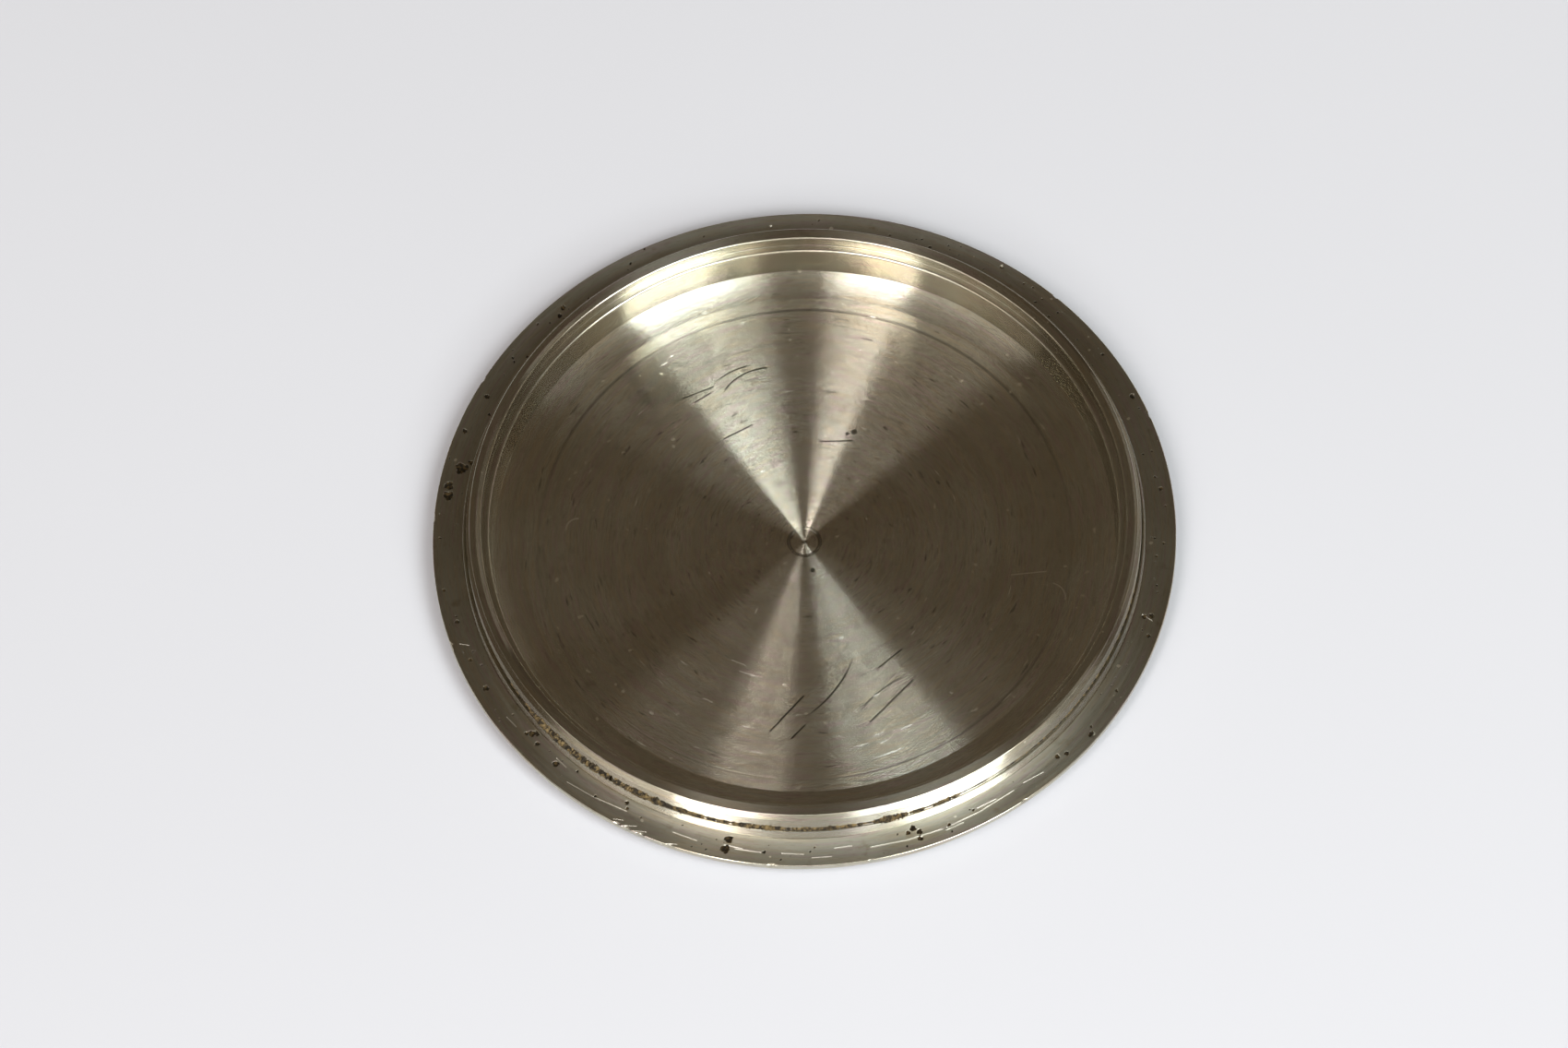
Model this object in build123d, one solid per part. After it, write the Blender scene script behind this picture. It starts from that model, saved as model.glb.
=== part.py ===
from build123d import *
import os

# Press-in back of a round wristwatch case, turned from one piece of stainless steel.
# It lies inner side up, outer face on the bench.
# Frame: origin on the turning axis in the plane of the outer face, +Z out of the hollow.
# Millimetres.

# --- driving dimensions ---------------------------------------------------------
outer_diameter = 32.0       # over the rim
face_diameter = 26.6        # flat part of the outer face, what it lies on
face_rise = 0.06            # small turned land at the edge of that flat
rim_height = 0.28           # cylindrical band round the rim
flange_height = 1.15        # seating flange above the outer face
edge_break = 0.05           # all the turned corners

step_diameter = 29.36       # low step inside the flange
step_height = 0.57          # its top above the flange
relief_width = 0.10         # narrow relief in the corner between step and lip
relief_depth = 0.06

lip_diameter = 29.00        # wall that enters the case middle
lip_shoulder_height = 1.23  # where the lead-in starts, above the flange
lip_land_diameter = 28.68   # outer edge of the flat top of the lip
lip_height = 1.50           # top of the lip above the flange

recess_diameter = 27.70     # shallow counterbore in the mouth
recess_depth = 0.55         # down from the top of the lip
bore_diameter = 27.04       # inner wall under that counterbore
wall_foot_diameter = 26.80  # same wall where it meets the floor

wall_foot_depth = 0.52      # foot of the wall below the flange
dish_diameter = 24.20       # inner edge of the sloping border of the floor
floor_depth = 0.68          # floor below the flange
line_diameter = 23.02       # fine turned line round the floor
line_width = 0.12
line_depth = 0.04

centre_diameter = 1.40      # centre mark left by the facing tool
centre_depth = 0.05
pip_height = 0.04           # little cone standing in the middle of it

# --- levels and radii -----------------------------------------------------------
rim_r = outer_diameter / 2
face_r = face_diameter / 2
rim_foot_z = flange_height - rim_height
step_r = step_diameter / 2
step_z = flange_height + step_height
lip_r = lip_diameter / 2
shoulder_z = flange_height + lip_shoulder_height
land_r = lip_land_diameter / 2
top_z = flange_height + lip_height
recess_r = recess_diameter / 2
recess_z = top_z - recess_depth
bore_r = bore_diameter / 2
foot_r = wall_foot_diameter / 2
foot_z = flange_height - wall_foot_depth
dish_r = dish_diameter / 2
floor_z = flange_height - floor_depth
line_r = line_diameter / 2
centre_r = centre_diameter / 2

# --- section through the metal, turned about Z -------------------------------------
with BuildPart() as case_back:
    with BuildSketch(Plane.XZ) as section:
        with BuildLine():
            # outer face, bevelled up to the rim
            Polyline(
                (0, 0),
                (face_r, 0),
                (face_r + 0.10, face_rise),
                (rim_r - edge_break, rim_foot_z - 0.02),
                (rim_r, rim_foot_z + edge_break),
                (rim_r, flange_height - edge_break),
                (rim_r - edge_break, flange_height),
                # seating flange and the low step inside it
                (step_r, flange_height),
                (step_r, step_z - edge_break),
                (step_r - edge_break / 2, step_z),
                (lip_r + relief_width, step_z),
                (lip_r + relief_width / 2, step_z - relief_depth),
                (lip_r, step_z),
                # outer wall of the lip with its lead-in
                (lip_r, shoulder_z),
                (land_r, top_z - edge_break),
                (land_r - edge_break, top_z),
                (recess_r + edge_break, top_z),
                # counterbore, inner wall
                (recess_r, top_z - edge_break),
                (recess_r, recess_z),
                (bore_r + edge_break, recess_z),
                (bore_r, recess_z - edge_break),
                (foot_r, foot_z),
            )
            # shallow hollow border of the floor
            dish = RadiusArc((foot_r, foot_z), (dish_r, floor_z), 7.0)
            Polyline(
                dish @ 1,
                (line_r + line_width / 2, floor_z),
                (line_r, floor_z - line_depth),
                (line_r - line_width / 2, floor_z),
                (centre_r, floor_z),
                (centre_r - centre_depth, floor_z - centre_depth),
                (0, floor_z - centre_depth + pip_height),
                (0, 0),
            )
        make_face()
    revolve(axis=Axis.Z)

case_back.part.label = "case_back"

os.makedirs("parts", exist_ok=True)
export_step(case_back.part, "parts/case_back.step")
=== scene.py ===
from math import cos, pi, radians, sin
from types import SimpleNamespace

import bpy
import numpy as np
from mathutils import Matrix, Vector, noise


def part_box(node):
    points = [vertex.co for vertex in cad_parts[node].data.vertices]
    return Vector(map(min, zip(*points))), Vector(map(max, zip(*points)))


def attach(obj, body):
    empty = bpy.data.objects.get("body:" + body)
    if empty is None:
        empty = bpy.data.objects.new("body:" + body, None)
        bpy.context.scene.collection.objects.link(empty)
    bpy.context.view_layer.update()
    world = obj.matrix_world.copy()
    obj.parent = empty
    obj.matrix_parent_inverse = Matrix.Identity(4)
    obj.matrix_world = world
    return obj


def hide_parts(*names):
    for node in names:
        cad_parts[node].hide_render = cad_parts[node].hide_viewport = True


# A turned steel back of a wristwatch case, lying hollow side up on a pale bench.
# Lengths are millimetres in the part's frame until a mesh is written, then metres.
# A bearing is an angle seen from above, clockwise from +X, so 90 is the side nearest the camera.

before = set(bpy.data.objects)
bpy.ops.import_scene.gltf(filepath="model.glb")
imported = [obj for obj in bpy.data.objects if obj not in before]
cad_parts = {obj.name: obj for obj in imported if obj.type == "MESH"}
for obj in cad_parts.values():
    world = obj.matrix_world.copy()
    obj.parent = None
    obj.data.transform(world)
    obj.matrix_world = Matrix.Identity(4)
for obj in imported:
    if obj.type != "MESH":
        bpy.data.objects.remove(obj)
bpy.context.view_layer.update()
node_low, node_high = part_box("case_back")

MM = 0.001

# --- the section, as in the CAD part ------------------------------------------------------------
rim_r = (node_high.x - node_low.x) / 2 / MM
top_z = node_high.z / MM
flange_z = 1.15
rim_foot_z = flange_z - 0.28
face_r = 13.30
step_r = 14.68
step_z = flange_z + 0.57
lip_r = 14.50
shoulder_z = flange_z + 1.23
land_r = 14.34
recess_r = 13.85
recess_z = top_z - 0.55
bore_r = 13.52
wall_foot_r = 13.40
wall_foot_z = flange_z - 0.52
dish_r = 12.10
floor_z = flange_z - 0.68
line_r = 11.51
centre_r = 0.70
dish_arc_r = 7.0

# the flange and the rim outside this radius and above this height carry pits and nicks
worn_r = step_r + 0.08
worn_z = flange_z - 0.12

# --- how it is seen and lit ---------------------------------------------------------------------
IMAGE_W = 1700
SENSOR = 36.0
CAMERA_ELEVATION = 61.23
CAMERA_ROLL = -3.06
CAMERA_DISTANCE = 27.0      # in rim radii
PIXELS_PER_RADIUS = 403.0
AIM = (-0.0525, 0.0344)     # where the middle of the image falls on the flange, in rim radii


# --- small helpers ------------------------------------------------------------------------------
def at_bearing(bearing, r):
    a = radians(bearing)
    return r * cos(a), -r * sin(a)


def rounded(before, corner, after, radius, steps=4):
    """Points that round off a corner of the section."""
    b = np.array(corner, float)
    to_a = np.array(before, float) - b
    to_c = np.array(after, float) - b
    to_a /= np.linalg.norm(to_a)
    to_c /= np.linalg.norm(to_c)
    half = np.arccos(np.clip(to_a @ to_c, -1, 1)) / 2
    cut = radius / np.tan(half)
    middle = to_a + to_c
    centre = b + middle / np.linalg.norm(middle) * radius / np.sin(half)
    start = b + to_a * cut - centre
    end = b + to_c * cut - centre
    points = []
    for t in np.linspace(0, 1, steps + 1):
        way = start * (1 - t) + end * t
        points.append(tuple(centre + way / np.linalg.norm(way) * radius))
    return points


def stretch(a, b, spacing, hold=0.012):
    """Points after a up to b, no further apart than spacing, with one held close to each end so
    that the shading stays crisp at the corners."""
    length = np.hypot(b[0] - a[0], b[1] - a[1])
    count = max(1, int(np.ceil(length / spacing)))
    shares = [i / count for i in range(1, count + 1)]
    if length > 4 * hold:
        shares = sorted(shares + [hold / length, 1 - hold / length])
    return [(a[0] + (b[0] - a[0]) * t, a[1] + (b[1] - a[1]) * t) for t in shares]


def new_mesh(name, points, faces):
    """A smooth-shaded object in the scene, its points in metres."""
    mesh = bpy.data.meshes.new(name)
    mesh.from_pydata(points, [], faces)
    mesh.update()
    mesh.polygons.foreach_set("use_smooth", np.ones(len(mesh.polygons), bool))
    obj = bpy.data.objects.new(name, mesh)
    bpy.context.scene.collection.objects.link(obj)
    return obj


# --- marks of wear ------------------------------------------------------------------------------
rng = np.random.default_rng(7)

# pits in the flange: bearing, radius, size, depth
flange_pits = [
    (190.5, 15.50, 0.22, 0.07), (192.3, 15.56, 0.20, 0.06), (195.8, 15.20, 0.27, 0.09),
    (197.2, 14.88, 0.10, 0.05), (202.5, 15.62, 0.10, 0.05), (209.6, 15.42, 0.11, 0.05),
    (228.6, 15.30, 0.10, 0.05), (230.0, 15.48, 0.10, 0.05), (306.0, 15.75, 0.09, 0.05),
    (337.8, 15.70, 0.13, 0.05), (355.2, 15.50, 0.09, 0.03), (18.4, 15.45, 0.10, 0.05),
    (18.9, 15.15, 0.10, 0.05), (22.0, 15.60, 0.08, 0.04), (33.0, 15.42, 0.07, 0.03),
    (41.6, 15.72, 0.14, 0.06), (46.7, 15.50, 0.09, 0.05), (48.1, 15.32, 0.10, 0.05),
    (69.2, 15.38, 0.07, 0.04), (74.2, 15.52, 0.12, 0.07), (74.0, 15.22, 0.12, 0.07),
    (74.8, 14.98, 0.13, 0.07), (75.8, 15.12, 0.09, 0.05), (99.1, 15.40, 0.07, 0.05),
    (105.2, 15.50, 0.19, 0.09), (105.0, 15.02, 0.17, 0.08), (123.0, 14.92, 0.08, 0.04),
    (136.6, 15.25, 0.13, 0.07), (141.3, 15.15, 0.09, 0.05), (143.3, 15.00, 0.14, 0.07),
    (142.7, 14.82, 0.11, 0.05), (143.9, 15.18, 0.08, 0.04), (154.4, 15.44, 0.13, 0.05),
    (160.1, 15.46, 0.08, 0.04), (167.4, 15.42, 0.09, 0.05), (173.4, 15.66, 0.07, 0.03),
]
flange_pits += [(rng.uniform(0, 360), rng.uniform(14.9, 15.8), rng.uniform(0.03, 0.06),
                 rng.uniform(0.015, 0.03)) for _ in range(60)]
# nicks in the rim: bearing, radius, size; all are equally deep, and longer round it than wide
edge_nicks = [
    (113.5, 15.98, 0.08), (118.4, 15.98, 0.09), (120.9, 15.98, 0.10), (122.5, 15.98, 0.07),
    (97.7, 15.98, 0.08), (342.0, 15.97, 0.10), (163.5, 15.97, 0.11), (186.2, 15.98, 0.11),
    (57.0, 15.99, 0.05), (82.5, 15.99, 0.05), (212.0, 15.98, 0.08), (316.0, 15.99, 0.07),
]
NICK_DEPTH = 0.04
NICK_STRETCH = 2.4
# dark pits in the floor, drawn in its material: bearing, radius, size
floor_pits = [(294.5, 5.81, 0.16), (292.0, 5.62, 0.10), (78.7, 1.44, 0.13)]
# bright scratches on the flange: bearing, radius, length, degrees that each turns off the tangent
flange_scratches = [
    (79.0, 15.40, 1.7, -2), (73.4, 15.43, 1.6, -1), (66.6, 15.42, 1.7, 1), (60.5, 15.36, 1.7, 2),
    (62.2, 15.24, 0.9, -2), (53.5, 15.38, 1.0, -9), (68.5, 15.56, 0.8, 2), (94.5, 15.42, 0.9, -2),
    (101.6, 15.42, 1.1, -1), (104.0, 15.34, 0.8, -3), (111.9, 15.38, 1.1, -3),
    (113.6, 15.92, 0.6, 15), (119.0, 15.90, 0.7, 19), (120.6, 15.84, 0.6, 24),
    (122.6, 15.80, 0.4, 20), (125.4, 15.36, 1.7, 6), (128.6, 15.46, 1.0, 4),
    (131.5, 15.52, 0.8, 6), (136.0, 15.05, 0.6, -4), (147.0, 15.36, 0.6, 5),
    (19.0, 15.30, 0.5, 70), (163.0, 15.45, 0.4, 60), (86.5, 15.20, 0.7, 2), (90.0, 15.60, 0.8, 1),
]
FLANGE_SCRATCH_WIDTH = 0.035

# short bright dashes on the floor, along the turning: bearing, radius, length
floor_dashes = [
    (67.0, 10.04, 0.5), (74.1, 9.88, 0.5), (79.2, 10.18, 0.6), (73.7, 10.32, 0.3),
    (72.4, 10.90, 0.9), (70.5, 8.10, 0.3), (84.0, 9.60, 0.3), (113.2, 6.85, 0.8),
    (118.5, 6.50, 0.6), (104.0, 10.40, 0.4), (108.5, 9.30, 0.3), (121.0, 8.70, 0.4),
]
FLOOR_DASH_WIDTH = 0.045


def pit_depth(x, y, bearing, r, size, depth, stretch_round=1.0):
    """How deep one ragged pit is at each point."""
    cx, cy = at_bearing(bearing, r)
    a = -radians(bearing)
    dx, dy = x - cx, y - cy
    along = (-dx * sin(a) + dy * cos(a)) / stretch_round
    out = dx * cos(a) + dy * sin(a)
    turn = np.arctan2(out, along)
    ragged = 1 + 0.17 * np.sin(3 * turn + bearing) + 0.10 * np.sin(5 * turn + 7 * r)
    ragged += 0.07 * np.sin(9 * turn + 3 * bearing)
    fall = np.clip(1.35 - np.hypot(along, out) / (size * ragged) * 1.35, 0, 1)
    return depth * fall * fall * (3 - 2 * fall)


# --- the turned body ----------------------------------------------------------------------------
FLOOR, DISH, WALL, LAND, CHAMFER, OUTWALL, FLANGE, OUTER, EDGE = range(9)
COARSE, FINE = 512, 2048      # points round a plain ring, and round a ring of the pitted flange


def section_runs():
    """The section from the middle of the floor out over the lip and round to the outer face:
    end of the run, radius of its corner, spacing of its rings, zone, zone of the corner."""
    runs = [
        ((0.0, floor_z - 0.010), 0, 1, FLOOR, FLOOR),
        ((centre_r - 0.05, floor_z - 0.05), 0.02, 0.10, FLOOR, EDGE),
        ((centre_r, floor_z), 0.02, 0.03, FLOOR, EDGE),
        ((line_r - 0.05, floor_z), 0, 0.60, FLOOR, FLOOR),
        ((line_r, floor_z - 0.004), 0, 0.05, FLOOR, FLOOR),
        ((line_r + 0.05, floor_z), 0, 0.05, FLOOR, FLOOR),
        ((dish_r, floor_z), 0, 0.2, FLOOR, FLOOR),
    ]
    # the hollow border: an arc that rises to the foot of the wall
    chord = np.hypot(wall_foot_r - dish_r, wall_foot_z - floor_z)
    sag = dish_arc_r - np.sqrt(dish_arc_r ** 2 - chord * chord / 4)
    for t in np.linspace(0, 1, 13)[1:]:
        runs.append(((dish_r + (wall_foot_r - dish_r) * t,
                      floor_z + (wall_foot_z - floor_z) * t - 4 * t * (1 - t) * sag),
                     0, 1, DISH, DISH))
    runs += [
        ((bore_r, recess_z), 0.10, 0.25, WALL, EDGE),
        ((recess_r, recess_z), 0.03, 0.10, LAND, LAND),
        ((recess_r, top_z), 0.07, 0.20, WALL, EDGE),
        ((land_r, top_z), 0.05, 0.10, LAND, EDGE),
        ((lip_r, shoulder_z), 0.06, 0.10, CHAMFER, CHAMFER),
        ((lip_r, step_z), 0.02, 0.20, OUTWALL, OUTWALL),
        ((lip_r + 0.05, step_z - 0.06), 0.02, 0.05, LAND, LAND),
        ((lip_r + 0.10, step_z), 0.01, 0.05, LAND, LAND),
        ((step_r, step_z), 0.04, 0.05, LAND, LAND),
        ((step_r, flange_z), 0.03, 0.20, OUTWALL, OUTWALL),
        ((rim_r, flange_z), 0.05, 0.05, FLANGE, EDGE),
        ((rim_r, rim_foot_z), 0.05, 0.06, OUTER, EDGE),
        ((face_r + 0.10, 0.06), 0.03, 0.25, OUTER, EDGE),
        ((face_r, 0.0), 0.03, 0.1, OUTER, EDGE),
        ((0.0, 0.0), 0, 0.9, OUTER, OUTER),
    ]
    return runs


def section_points():
    runs = section_runs()
    points, zones = [runs[0][0]], [FLOOR]
    for i in range(1, len(runs)):
        corner, radius, spacing, zone, corner_zone = runs[i]
        if radius:
            turn = rounded(runs[i - 1][0], corner, runs[i + 1][0], radius)
        else:
            turn = [corner]
        for p in stretch(points[-1], turn[0], spacing):
            points.append(p)
            zones.append(zone)
        for p in turn[1:]:
            points.append(p)
            zones.append(corner_zone)
    return np.array(points), np.array(zones)


def turned_body():
    section, zones = section_points()
    last = len(section) - 1
    along = np.vstack([section[1:], section[-1:]]) - np.vstack([section[:1], section[:-1]])
    along /= np.maximum(np.linalg.norm(along, axis=1, keepdims=True), 1e-9)
    worn = (section[:, 0] > worn_r) & (section[:, 1] > worn_z)
    points, starts, counts = [], [], []
    for (r, z), (run_r, run_z), is_worn, k in zip(section, along, worn, range(last + 1)):
        count = 1 if k in (0, last) else FINE if is_worn else COARSE
        turn = np.linspace(0, 2 * pi, count, endpoint=False)
        x, y = r * np.cos(turn), r * np.sin(turn)
        sink = np.zeros(count)
        if is_worn:
            for pit in flange_pits:
                sink = np.maximum(sink, pit_depth(x, y, *pit))
            for bearing, radius, size in edge_nicks:
                sink = np.maximum(sink, pit_depth(x, y, bearing, radius, size,
                                                  NICK_DEPTH, NICK_STRETCH))
        # along each normal, inwards
        x = x + sink * run_z * np.cos(turn)
        y = y + sink * run_z * np.sin(turn)
        starts.append(sum(counts))
        counts.append(count)
        points.append(np.stack([x, y, z - sink * run_r], 1))
    faces, face_zones = [], []
    for k in range(last):
        inner, outer = counts[k], counts[k + 1]
        fewer = min(inner, outer)
        for i in range(max(fewer, COARSE)):
            a = [starts[k] + (i * inner // max(fewer, COARSE) + n) % inner
                 for n in range(inner // max(fewer, COARSE) + 1)] if inner > 1 else [starts[k]]
            b = [starts[k + 1] + (i * outer // max(fewer, COARSE) + n) % outer
                 for n in range(outer // max(fewer, COARSE) + 1)] if outer > 1 else [starts[k + 1]]
            faces.append(a[::-1] + b)
        face_zones += [zones[k + 1]] * max(fewer, COARSE)
    body = new_mesh("turned_body", (np.vstack(points) * MM).tolist(), faces)
    body.data.polygons.foreach_set("material_index", np.array(face_zones, np.int32))
    return body


# --- dried dirt, and painted shade, in the corner at the foot of the lip ------------------------
# bearing, and how thick the bead lies there before its lumps; up to 64 the thin bead is painted
# shade in the corner, from 66 on it is dried dirt
dirt_and_shade_thickness = [
    (6, 0), (14, 0.14), (40, 0.17), (56, 0.20), (64, 0.20), (66, 0.45), (70, 0.45), (72, 0.3),
    (75, 0.6), (77, 1.3), (80, 0.9), (82, 0.4), (92, 0.55), (98, 0.75), (105, 0.75), (107, 0.45),
    (112, 0.5), (114, 1.0), (125, 1.1), (126.3, 1.1), (126.4, 0), (126.8, 0), (126.9, 1.2),
    (143, 1.2), (146, 0.4), (158, 0),
]
# lumps per degree, and how large their swing is
bead_lumps = ((0.3, 0.7), (0.9, 0.35), (3.1, 0.5), (9.7, 0.3))
BEAD_BEARINGS = np.arange(5.0, 160.0, 0.12)
BEAD_ACROSS = 9             # points across the bead
LEAST_BEAD = 0.06           # where there is less than this, the bead is broken
BEAD_OUT, BEAD_UP = 0.20, 0.26  # how far it spreads over the step and up the lip, times its amount
TUCK = 0.004                # how deep its borders lie in the metal


def dirt_and_shade_amount(bearing):
    """How much lies in the corner at this bearing, painted shade up to 64, dried dirt beyond: 0 for
    none, 1 for a full bead.
    """
    thick = np.interp(bearing, *zip(*dirt_and_shade_thickness))
    lumps = sum(share * noise.noise(Vector((bearing * pace, 3.1 * pace, 0.0)))
                for pace, share in bead_lumps)
    return float(thick) * (0.85 + lumps)


def corner_dirt_and_shade():
    """A crumbly bead that fills the corner between the step and the lip: dried dirt, and up to
    bearing 64 a thin dark line of painted shade.
    """
    points, faces = [], []
    previous = None
    for bearing in BEAD_BEARINGS:
        amount = dirt_and_shade_amount(bearing)
        if amount < LEAST_BEAD:
            previous = None
            continue
        start = len(points)
        for i in range(BEAD_ACROSS):
            t = i / (BEAD_ACROSS - 1)
            # from on the step, over the bead, up on to the lip's wall
            swell = 0.10 * amount * sin(pi * t)
            rough = 0.035 * amount * noise.noise(Vector((bearing * 5.3, t * 4.0, 1.7)))
            out = BEAD_OUT * amount * (1 - t) - TUCK + (swell + rough) * 0.7
            up = BEAD_UP * amount * t - TUCK + (swell + rough) * 0.8
            x, y = at_bearing(bearing, min(lip_r + max(out, -TUCK), step_r + 0.02))
            points.append((x * MM, y * MM, (step_z + max(up, -TUCK)) * MM))
        if previous is not None:
            for i in range(BEAD_ACROSS - 1):
                faces.append((previous + i, previous + i + 1, start + i + 1, start + i))
        previous = start
    return new_mesh("corner_dirt_and_shade", points, faces)


# --- materials ----------------------------------------------------------------------------------
GROOVES_PER_MM = 33.0
SLOPE_OF_STREAKS, SLOPE_OF_LINES, SLOPE_OF_GRAIN, SLOPE_OF_BANDS = 0.007, 0.009, 0.010, 0.008
LEAST_ROUGHNESS = 0.12
FLANGE_MARK_DEPTH = 0.008

STEEL_WARM = (0.57, 0.520, 0.43)
STEEL_PALE = (0.64, 0.610, 0.535)
BANDED = (0.42, 0.37, 0.29, 1)
STAINED = (0.25, 0.19, 0.11, 1)
GRAINED = (0.27, 0.23, 0.17, 1)
# the colour of dark marks, and of the painted shade along the floor's thin turned line
SCRATCH_DARK_AND_SHADE = (0.045, 0.034, 0.020, 1)
SCRATCH_BRIGHT = (0.85, 0.83, 0.76, 1)
SPECK = (0.75, 0.72, 0.62, 1)
CRUST_BLACK = (0.012, 0.009, 0.005, 1)
CRUST_BROWN = (0.055, 0.036, 0.015, 1)
# dried dirt, and the painted shade of the bead up to bearing 64
DIRT_AND_SHADE_BLACK = (0.018, 0.012, 0.005, 1)
DIRT_AND_SHADE_BROWN = (0.19, 0.130, 0.050, 1)
TINT_ROSE, TINT_GREEN, TINT_GOLD = (0.98, 0.93, 0.98, 1), (0.95, 1.0, 0.98, 1), (1.0, 0.98, 0.92, 1)
PAPER_DARK = (0.662, 0.673, 0.730, 1)
PAPER_PALE = (0.692, 0.703, 0.764, 1)

# output numbers of two nodes
OBJECT_COORDINATE = 3
SURFACE_NORMAL = 1


class Graph:
    """Writes a node tree as plain expressions."""

    def __init__(self, name):
        self.material = bpy.data.materials.new(name)
        self.material.use_nodes = True
        self.tree = self.material.node_tree
        self.shader = self.tree.nodes["Principled BSDF"]

    def node(self, kind, inputs=(), output=0, **settings):
        made = self.tree.nodes.new(kind)
        for key, value in settings.items():
            setattr(made, key, value)
        for key, value in dict(inputs).items():
            self.plug(made.inputs[key], value)
        return made.outputs[output]

    def plug(self, socket, value):
        if isinstance(value, bpy.types.NodeSocket):
            self.tree.links.new(value, socket)
        else:
            socket.default_value = value

    def math(self, operation, a, b=0.0, c=0.0):
        return self.node("ShaderNodeMath", {0: a, 1: b, 2: c}, operation=operation)

    def vector(self, operation, a, b=(0, 0, 0), output=0):
        return self.node("ShaderNodeVectorMath", {0: a, 1: b}, output, operation=operation)

    def scaled(self, vector, by):
        return self.node("ShaderNodeVectorMath", {0: vector, "Scale": by}, operation="SCALE")

    def ramp(self, value, low, high, to_low=0.0, to_high=1.0):
        return self.node("ShaderNodeMapRange", {0: value, 1: low, 2: high, 3: to_low, 4: to_high},
                         interpolation_type="SMOOTHSTEP")

    def mix(self, share, a, b, **settings):
        # a Mix node's inputs 6 and 7 and its output 2 are its colours
        return self.node("ShaderNodeMix", {0: share, 6: a, 7: b}, 2, data_type="RGBA", **settings)

    def noise(self, vector, scale, detail=2.0, roughness=0.5):
        return self.node("ShaderNodeTexNoise", {"Vector": vector, "Scale": scale, "Detail": detail,
                                                "Roughness": roughness})

    def noise_1d(self, value, scale, detail=2.0, roughness=0.5):
        return self.node("ShaderNodeTexNoise", {"W": value, "Scale": scale, "Detail": detail,
                                                "Roughness": roughness}, noise_dimensions="1D")


def point_in_mm(g):
    return g.scaled(g.node("ShaderNodeTexCoord", output=OBJECT_COORDINATE), 1 / MM)


def lathe(g):
    """Where a point is on the turned body: the point in mm, its flat part, radius and height, the
    directions round the axis and across the turned grooves, and run, a distance that grows across
    the grooves on flat faces and on walls alike."""
    point = point_in_mm(g)
    flat = g.vector("MULTIPLY", point, (1, 1, 0))
    radius = g.vector("LENGTH", flat, output=1)
    around = g.vector("NORMALIZE", g.vector("CROSS_PRODUCT", (0, 0, 1), flat))
    across = g.vector("CROSS_PRODUCT", g.node("ShaderNodeNewGeometry", output=SURFACE_NORMAL),
                      around)
    height = g.node("ShaderNodeSeparateXYZ", {0: point}, 2)
    run = g.math("MULTIPLY_ADD", height, 1.7, radius)
    return SimpleNamespace(point=point, flat=flat, radius=radius, height=height, around=around,
                           across=across, run=run)


def round_streaks(g, around, run, along, across):
    """A vector for broken streaks that follow the turning, with no seam. along and across are how
    many streaks there are to a unit of around and to a mm of run."""
    up = g.node("ShaderNodeCombineXYZ", {2: g.math("MULTIPLY", run, across)})
    return g.vector("ADD", g.scaled(around, along), up)


def swing(g, value, size):
    """A noise value, turned into a swing of about size either way."""
    return g.math("MULTIPLY", g.math("SUBTRACT", value, 0.5), size * 2)


def stroke(g, flat, start, end, width):
    """1 on a straight scratch between two points, else 0."""
    run = Vector((end[0] - start[0], end[1] - start[1], 0))
    away = g.vector("SUBTRACT", flat, (start[0], start[1], 0))
    share = g.math("DIVIDE", g.vector("DOT_PRODUCT", away, run, output=1), run.length_squared)
    share = g.node("ShaderNodeClamp", {0: share})
    gap = g.vector("LENGTH", g.vector("SUBTRACT", away, g.scaled(tuple(run), share)), output=1)
    return g.ramp(gap, width * 0.35, width, 1.0, 0.0)


def bow(g, flat, centre, radius, facing, spread, width):
    """1 on a curved scratch: part of a circle that faces one way, else 0."""
    away = g.vector("SUBTRACT", flat, (centre[0], centre[1], 0))
    gap = g.math("ABSOLUTE", g.math("SUBTRACT", g.vector("LENGTH", away, output=1), radius))
    line = g.ramp(gap, width * 0.35, width, 1.0, 0.0)
    a = radians(facing)
    side = g.vector("DOT_PRODUCT", g.vector("NORMALIZE", away), (cos(a), sin(a), 0), output=1)
    return g.math("MULTIPLY", line, g.ramp(side, cos(radians(spread)), cos(radians(spread)) + 0.05))


def dash(g, flat, bearing, r, length, turn, width):
    """1 on a short straight scratch that turns off the tangent by so many degrees, else 0."""
    x, y = at_bearing(bearing, r)
    a = -radians(bearing) + pi / 2 + radians(turn)
    dx, dy = cos(a) * length / 2, sin(a) * length / 2
    return stroke(g, flat, (x - dx, y - dy), (x + dx, y + dy), width)


def most(g, values):
    """The greatest of some values."""
    total = values[0]
    for value in values[1:]:
        total = g.math("MAXIMUM", total, value)
    return total


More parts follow.
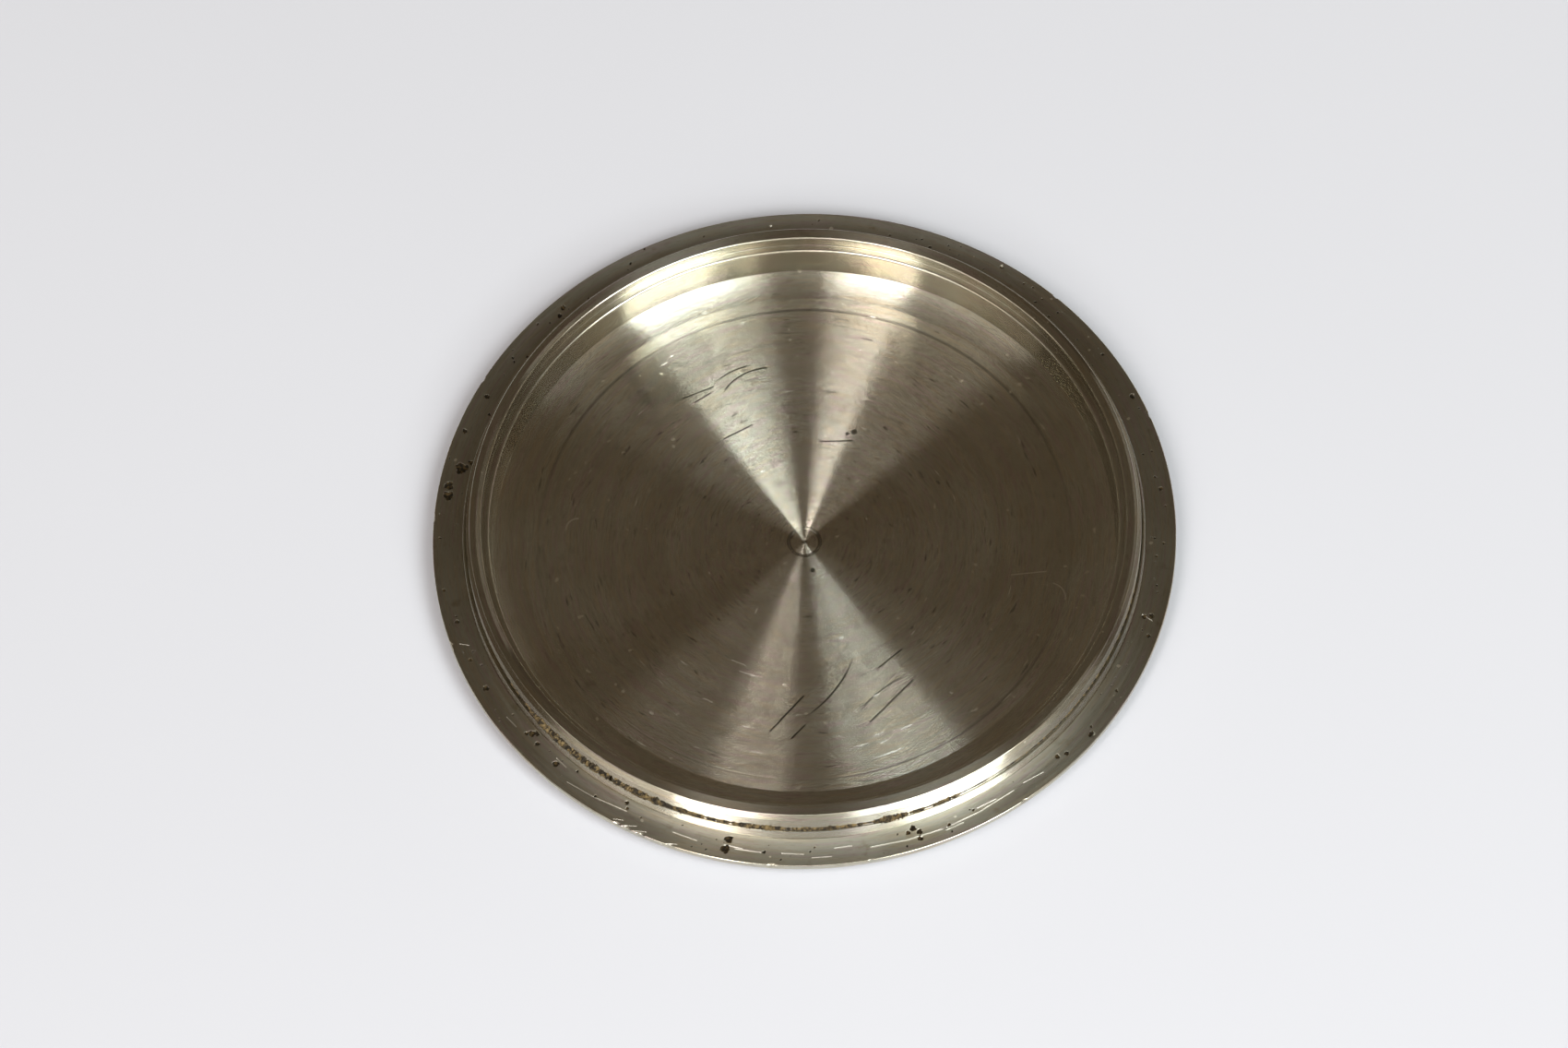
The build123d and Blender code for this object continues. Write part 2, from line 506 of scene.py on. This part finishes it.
def turned_steel(name, lean, spread, roughness, anisotropic, wander=0.02, stain=0.30, shade=1.0,
                 marks=None, bends=(), tilts=(), unrest=1.0):
    """Lathe-turned stainless steel. lean tips the facets of the grooves and spread fans them out,
    both as slopes across the grooves; a positive lean tips them in towards the axis. Each bend
    adds a slope that changes between two radii, and each tilt one that is kept to a patch: its
    bearing, how far it reaches either way in degrees, its inner and outer radius, its slope and how
    wide its border is. unrest scales the small irregular slopes."""
    g = Graph(name)
    here = lathe(g)
    around, run = here.around, here.run
    around_mm = g.scaled(around, here.radius)
    # grooves too fine to see one by one: their flanks slope evenly from -spread to spread
    pitch = g.math("MULTIPLY_ADD", run, GROOVES_PER_MM, g.noise_1d(run, 3.0, 1.0))
    rings = g.math("MULTIPLY_ADD", g.math("PINGPONG", pitch, 0.5), 4.0, -1.0)
    lines = g.noise_1d(g.math("ADD", run, 57.0), 6.0, 2.0, 0.6)
    bands = g.noise_1d(g.math("ADD", run, 31.0), 0.9, 2.0)
    streaks = g.noise(round_streaks(g, around, run, 15.0, 10.0), 1.0, 2.0, 0.6)
    grain = g.noise(round_streaks(g, around_mm, run, 2.0, 16.0), 1.0, 2.0, 0.6)
    cloud = g.noise(here.point, 0.22, 3.0, 0.55)
    blotch = g.noise(here.point, 0.9, 4.0, 0.6)

    slope = g.math("MULTIPLY_ADD", rings, spread, lean)
    for start, end, first, second in bends:
        slope = g.math("ADD", slope, g.ramp(here.radius, start, end, first, second))
    for bearing, reach, inner, outer, tip, border in tilts:
        toward = g.vector("DOT_PRODUCT", g.vector("NORMALIZE", here.flat),
                          (*at_bearing(bearing, 1), 0), output=1)
        patch = g.ramp(toward, cos(radians(reach)), cos(radians(reach * 0.4)), 0.0, tip)
        patch = g.math("MULTIPLY", patch, g.ramp(here.radius, inner, inner + border))
        patch = g.math("MULTIPLY", patch, g.ramp(here.radius, outer - border, outer, 1.0, 0.0))
        slope = g.math("ADD", slope, patch)
    for texture, size in ((streaks, SLOPE_OF_STREAKS), (lines, SLOPE_OF_LINES),
                          (grain, SLOPE_OF_GRAIN), (bands, SLOPE_OF_BANDS)):
        slope = g.math("ADD", slope, swing(g, texture, size * unrest))
    normal = g.vector("ADD", g.node("ShaderNodeNewGeometry", output=SURFACE_NORMAL),
                      g.scaled(here.across, slope))
    side = g.noise(round_streaks(g, around, run, 3.0, 6.0), 1.0, 2.0)
    normal = g.vector("ADD", normal, g.scaled(around, swing(g, side, wander)))
    normal = g.vector("NORMALIZE", normal)

    warm, pale = ((*(part * shade for part in steel), 1) for steel in (STEEL_WARM, STEEL_PALE))
    base = g.mix(g.ramp(cloud, 0.35, 0.68), warm, pale)
    base = g.mix(g.ramp(bands, 0.3, 0.7, 0.0, 0.22), base, BANDED)
    base = g.mix(g.ramp(blotch, 0.60, 0.78, 0.0, stain), base, STAINED)
    base = g.mix(g.ramp(grain, 0.30, 0.50, 0.30, 0.0), base, GRAINED)
    # faint colours of light split by the fine grooves
    split = g.noise(round_streaks(g, around, run, 6.0, 7.0), 1.0, 2.0)
    tint = g.mix(g.ramp(split, 0.36, 0.50), TINT_ROSE, TINT_GREEN)
    tint = g.mix(g.ramp(split, 0.50, 0.64), tint, TINT_GOLD)
    base = g.mix(1.0, base, tint, blend_type="MULTIPLY")
    rough = g.math("ADD", swing(g, bands, 0.005), roughness)
    rough = g.math("ADD", rough, swing(g, streaks, 0.006))
    pits, metallic = None, 1.0
    if marks:
        dark, bright, pits = marks(g, here)
        # dark marks, and on the floor also the painted shade along the thin turned line
        base = g.mix(g.math("MULTIPLY", dark, 0.88), base, SCRATCH_DARK_AND_SHADE)
        rough = g.math("MULTIPLY_ADD", dark, 0.04, rough)
        base = g.mix(g.math("MULTIPLY", bright, 0.8), base, SCRATCH_BRIGHT)
    if pits is not None:
        crust = g.mix(g.ramp(g.noise(here.point, 7.0, 3.0), 0.45, 0.65), CRUST_BLACK, CRUST_BROWN)
        base = g.mix(pits, base, crust)
        rough = g.math("MULTIPLY_ADD", pits, 0.4, rough)
        metallic = g.math("SUBTRACT", 1.0, pits)
        sunk = g.math("MAXIMUM", g.math("MULTIPLY", dark, 0.5), g.math("MULTIPLY", bright, 0.8))
        normal = g.node("ShaderNodeBump", {
            "Height": g.math("MULTIPLY", sunk, -1.0), "Normal": normal,
            "Distance": FLANGE_MARK_DEPTH * MM, "Strength": 1.0})
    specks = g.ramp(g.noise(here.point, 3.4, 0.0), 0.835, 0.85)
    base = g.mix(specks, base, SPECK)
    g.plug(g.shader.inputs["Base Color"], base)
    g.plug(g.shader.inputs["Roughness"], g.math("MAXIMUM", rough, LEAST_ROUGHNESS))
    g.plug(g.shader.inputs["Metallic"], metallic)
    g.shader.inputs["Specular IOR Level"].default_value = 0.1
    g.shader.inputs["Anisotropic"].default_value = anisotropic
    g.shader.inputs["Anisotropic Rotation"].default_value = 0.25
    g.plug(g.shader.inputs["Tangent"],
           g.node("ShaderNodeTangent", direction_type="RADIAL", axis="Z"))
    g.plug(g.shader.inputs["Normal"], normal)
    return g.material


def floor_marks(g, here):
    """The floor's dark marks, its bright marks and its pits, of which it has none: plain hand
    scratches, a few strokes and bows with no lettering, and the turned lines, the thin one with
    painted shade."""
    flat, radius, around, run = here.flat, here.radius, here.around, here.run
    around_mm = g.scaled(around, radius)
    lines = [
        stroke(g, flat, (-1.9, -9.1), (-0.4, -7.5), 0.056),
        stroke(g, flat, (-1.0, -9.5), (-0.4, -8.9), 0.048),
        stroke(g, flat, (2.4, -8.9), (4.3, -7.0), 0.056),
        stroke(g, flat, (2.9, -6.3), (3.9, -5.5), 0.048),
        stroke(g, flat, (-4.9, 7.4), (-3.6, 7.9), 0.055),
        stroke(g, flat, (-4.4, 7.2), (-3.7, 7.6), 0.050),
        stroke(g, flat, (-3.2, 5.3), (-2.0, 5.9), 0.050),
        stroke(g, flat, (0.9, 4.9), (2.3, 4.85), 0.045),
        bow(g, flat, (-3.6, -3.7), 5.8, -38, 19, 0.052),
        bow(g, flat, (5.6, -10.9), 4.4, 128, 18, 0.048),
        bow(g, flat, (-1.2, 6.4), 2.3, 118, 30, 0.055),
        bow(g, flat, (-1.5, 6.0), 2.9, 115, 20, 0.050),
    ]
    for bearing, r, size in floor_pits:
        x, y = at_bearing(bearing, r)
        gap = g.vector("LENGTH", g.vector("SUBTRACT", flat, (x, y, 0)), output=1)
        lines.append(g.ramp(gap, size * 0.5, size * 1.1, 1.0, 0.0))
    # the small turned mark in the middle, dark along its edge and at its point
    ragged = g.math("ADD", radius, swing(g, g.noise(around, 2.5, 3.0), 0.05))
    gap = g.math("ABSOLUTE", g.math("SUBTRACT", ragged, centre_r - 0.03))
    lines.append(g.ramp(gap, 0.04, 0.10, 0.9, 0.0))
    lines.append(g.ramp(radius, 0.05, 0.14, 0.7, 0.0))
    # a patch on the far left of the floor, inside the thin turned line, that is drawn darker and
    # duller
    gap = g.vector("LENGTH", g.vector("SUBTRACT", flat, (-5.2, 9.0, 0)), output=1)
    ragged = g.math("ADD", gap, swing(g, g.noise(here.point, 1.1, 3.0), 1.6))
    patch = g.ramp(ragged, 1.2, 3.2, 0.42, 0.0)
    lines.append(g.math("MULTIPLY", patch, g.ramp(radius, line_r - 0.1, line_r, 1.0, 0.0)))
    # the thin turned line, drawn dark as painted shade: strongest on the far side and the near
    # right, where its groove shows in shadow, faint on the near left
    gap = g.math("ABSOLUTE", g.math("SUBTRACT", radius, line_r))
    right, away = (g.node("ShaderNodeSeparateXYZ", {0: flat}, side) for side in (0, 1))
    near = g.math("MULTIPLY", g.ramp(away, -9.0, -3.0, 0.42, 0.0), g.ramp(right, 0.0, 4.0))
    strength = g.math("MAXIMUM", near, g.ramp(away, 1.0, 9.0, 0.10, 0.52))
    lines.append(g.math("MULTIPLY", strength, g.ramp(gap, 0.03, 0.10, 1.0, 0.0)))
    # short dark and bright dashes that follow the turning
    dashes = g.noise(round_streaks(g, around, run, 9.0, 5.5), 1.0, 1.0)
    lines.append(g.ramp(dashes, 0.71, 0.75, 0.0, 0.5))
    fine = g.noise(round_streaks(g, around_mm, g.math("ADD", run, 20.0), 1.6, 16.0), 1.0, 1.0)
    lines.append(g.ramp(fine, 0.70, 0.76, 0.0, 0.5))
    light = g.noise(round_streaks(g, around, g.math("ADD", run, 40.0), 8.0, 6.0), 1.0, 1.0)
    bright = [
        g.ramp(light, 0.76, 0.79),
        bow(g, flat, (-9.75, 1.25), 0.48, 135, 55, 0.05),
        bow(g, flat, (10.35, -3.35), 0.70, 30, 45, 0.04),
        stroke(g, flat, (8.8, -2.16), (10.3, -2.08), 0.035),
        stroke(g, flat, (7.25, -1.55), (7.33, -1.58), 0.08),
        stroke(g, flat, (5.88, -7.70), (5.94, -7.74), 0.07),
        stroke(g, flat, (-6.96, -7.88), (-6.88, -7.96), 0.09),
        stroke(g, flat, (-9.60, -5.70), (-9.50, -5.78), 0.07),
    ]
    bright += [dash(g, flat, *place, 0, FLOOR_DASH_WIDTH) for place in floor_dashes]
    return most(g, lines), most(g, bright), None


def flange_marks(g, here):
    """The flange's dark marks, its bright marks and its pits. The pits are corroded, and are where
    the mesh lies below the flange; the bright scratches roughly follow the turning."""
    inside = g.ramp(here.radius, rim_r - 0.28, rim_r - 0.20, 1.0, 0.0)
    sunken = g.ramp(here.height, flange_z - 0.004, flange_z - 0.0002, 1.0, 0.0)
    specks = g.ramp(g.noise(here.point, 4.2, 1.0), 0.74, 0.78, 0.0, 0.8)
    pits = g.math("MAXIMUM", g.math("MULTIPLY", sunken, inside), specks)
    scratches = [dash(g, here.flat, *place, FLANGE_SCRATCH_WIDTH) for place in flange_scratches]
    return pits, most(g, scratches), pits


# the corner bead's colours: dried dirt, and painted shade where it is thin on the right
def dried_dirt_and_shade():
    g = Graph("dried_dirt_and_shade")
    lumps = g.noise(point_in_mm(g), 5.0, 4.0, 0.65)
    colour = g.mix(g.ramp(lumps, 0.44, 0.64), DIRT_AND_SHADE_BLACK, DIRT_AND_SHADE_BROWN)
    g.plug(g.shader.inputs["Base Color"], colour)
    g.plug(g.shader.inputs["Roughness"], g.ramp(lumps, 0.3, 0.7, 0.95, 0.6))
    g.plug(g.shader.inputs["Normal"], g.node("ShaderNodeBump", {
        "Height": lumps, "Distance": 0.05 * MM, "Strength": 0.8}))
    return g.material


def bench_paper():
    g = Graph("bench_paper")
    cloud = g.noise(point_in_mm(g), 0.02, 3.0)
    g.plug(g.shader.inputs["Base Color"], g.mix(cloud, PAPER_DARK, PAPER_PALE))
    g.shader.inputs["Roughness"].default_value = 0.9
    g.shader.inputs["Specular IOR Level"].default_value = 0.2
    return g.material


# --- build --------------------------------------------------------------------------------------
body = turned_body()
finishes = [
    # in the order of the zones
    turned_steel("turned_floor", lean=0.03, spread=0.43, roughness=0.22, anisotropic=1.0,
                 wander=0.006, marks=floor_marks,
                 bends=[(5.5, 9.5, 0.055, 0.045), (0.8, 1.5, 0.06, 0.0), (0.50, 0.62, -0.08, 0.0)],
                 tilts=[(84, 22, 1.5, 13.5, -0.045, 1.5), (106, 14, 7.0, 13.5, 0.030, 1.5),
                        (290, 30, 1.0, 8.5, -0.034, 1.5), (90, 13, 1.5, 13.5, -0.05, 1.5)]),
    turned_steel("turned_dish", lean=0.175, spread=0.265, roughness=0.18, anisotropic=1.0,
                 wander=0.006, unrest=0.5),
    turned_steel("turned_wall", lean=0.0, spread=0.16, roughness=0.18, anisotropic=1.0,
                 wander=0.006, unrest=0.3),
    turned_steel("turned_land", lean=0.0, spread=0.08, roughness=0.22, anisotropic=1.0,
                 wander=0.010, shade=0.9,
                 tilts=[(-2, 60, 14.17, 16.0, -0.70, 0.05), (182, 60, 13.84, 14.10, 0.70, 0.04)]),
    turned_steel("turned_chamfer", lean=0.46, spread=0.12, roughness=0.22, anisotropic=1.0,
                 wander=0.010,
                 tilts=[(185, 75, 13.0, 16.0, 0.45, 0.05), (318, 40, 13.0, 16.0, 0.20, 0.05)]),
    turned_steel("turned_lip", lean=0.95, spread=0.25, roughness=0.27, anisotropic=1.0),
    turned_steel("turned_flange", lean=-0.12, spread=0.14, roughness=0.36, anisotropic=0.60,
                 wander=0.10, stain=0.55, shade=0.72, marks=flange_marks,
                 bends=[(14.8, 15.8, -0.09, 0.16)]),
    turned_steel("turned_outside", lean=0.0, spread=0.22, roughness=0.30, anisotropic=0.9,
                 wander=0.05),
    turned_steel("worn_edge", lean=0.0, spread=0.16, roughness=0.25, anisotropic=0.3, wander=0.20),
]
for finish in finishes:
    body.data.materials.append(finish)
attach(body, "root")
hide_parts("case_back")

dirt_and_shade_bead = corner_dirt_and_shade()
dirt_and_shade_bead.data.materials.append(dried_dirt_and_shade())
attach(dirt_and_shade_bead, "root")

# --- bench, lights, camera ----------------------------------------------------------------------
BENCH_HALF = 1.0            # metres
BENCH_Z = -1e-5             # just under the outer face
bench = new_mesh("bench", [(-BENCH_HALF, -BENCH_HALF, BENCH_Z), (BENCH_HALF, -BENCH_HALF, BENCH_Z),
                           (BENCH_HALF, BENCH_HALF, BENCH_Z), (-BENCH_HALF, BENCH_HALF, BENCH_Z)],
                 [(0, 1, 2, 3)])
bench.data.materials.append(bench_paper())

rim = rim_r * MM


def direction(azimuth, elevation):
    """Azimuth is turned from the camera's side towards +X."""
    a, e = radians(azimuth), radians(elevation)
    return Vector((sin(a) * cos(e), -cos(a) * cos(e), sin(e)))


def softbox(name, azimuth, elevation, distance, width, height, radiance, colour):
    """A rectangular light that faces the part, with its distance and size in metres."""
    light = bpy.data.lights.new(name, "AREA")
    light.shape = "RECTANGLE"
    light.size, light.size_y = width, height
    light.energy = radiance * pi * width * height
    light.color = colour
    lamp = bpy.data.objects.new(name, light)
    way = direction(azimuth, elevation)
    lamp.location = way * distance
    side = Vector((0, 0, 1)).cross(way).normalized()
    up = way.cross(side)
    lamp.rotation_euler = Matrix((side, up, way)).transposed().to_euler()
    bpy.context.scene.collection.objects.link(lamp)


# name, azimuth, elevation, distance, width, height, radiance, colour
softbox("softbox_right", 38.0, 48, 0.45, 0.177, 0.30, 9.5, (0.95, 1.0, 0.98))
softbox("softbox_left", -31.0, 50, 0.45, 0.099, 0.34, 8.8, (1.0, 0.955, 0.92))
softbox("strip_right", 12.8, 50, 0.45, 0.036, 0.30, 2.3, (0.97, 1.0, 0.97))
softbox("glow", 0, 45, 0.60, 1.5, 0.60, 0.54, (1.0, 0.97, 0.9))
softbox("glow_left", -62, 48, 0.50, 0.25, 0.35, 0.72, (1.0, 0.93, 0.85))
softbox("glow_right", 72, 48, 0.50, 0.22, 0.35, 0.3, (1.0, 0.97, 0.90))
softbox("low_right", 118, 12, 0.60, 0.50, 0.12, 0.43, (1.0, 0.93, 0.84))

world = bpy.data.worlds.new("room")
world.use_nodes = True
world.node_tree.nodes["Background"].inputs["Color"].default_value = (0.106, 0.083, 0.058, 1)
bpy.context.scene.world = world
bpy.context.scene.view_settings.view_transform = "Standard"

camera_data = bpy.data.cameras.new("camera")
camera = bpy.data.objects.new("camera", camera_data)
bpy.context.scene.collection.objects.link(camera)
back = direction(0, CAMERA_ELEVATION)
level = Vector((1, 0, 0))
upright = back.cross(level)
roll = radians(CAMERA_ROLL)
right = level * cos(roll) + upright * sin(roll)
above = back.cross(right)
aim = Vector((AIM[0] * rim, AIM[1] * rim, flange_z * MM))
camera.matrix_world = Matrix.Translation(aim + back * CAMERA_DISTANCE * rim) @ Matrix(
    (right, above, back)).transposed().to_4x4()
camera_data.sensor_width = SENSOR
camera_data.lens = SENSOR * PIXELS_PER_RADIUS * CAMERA_DISTANCE / IMAGE_W
camera_data.clip_start, camera_data.clip_end = 0.01, 10
bpy.context.scene.camera = camera
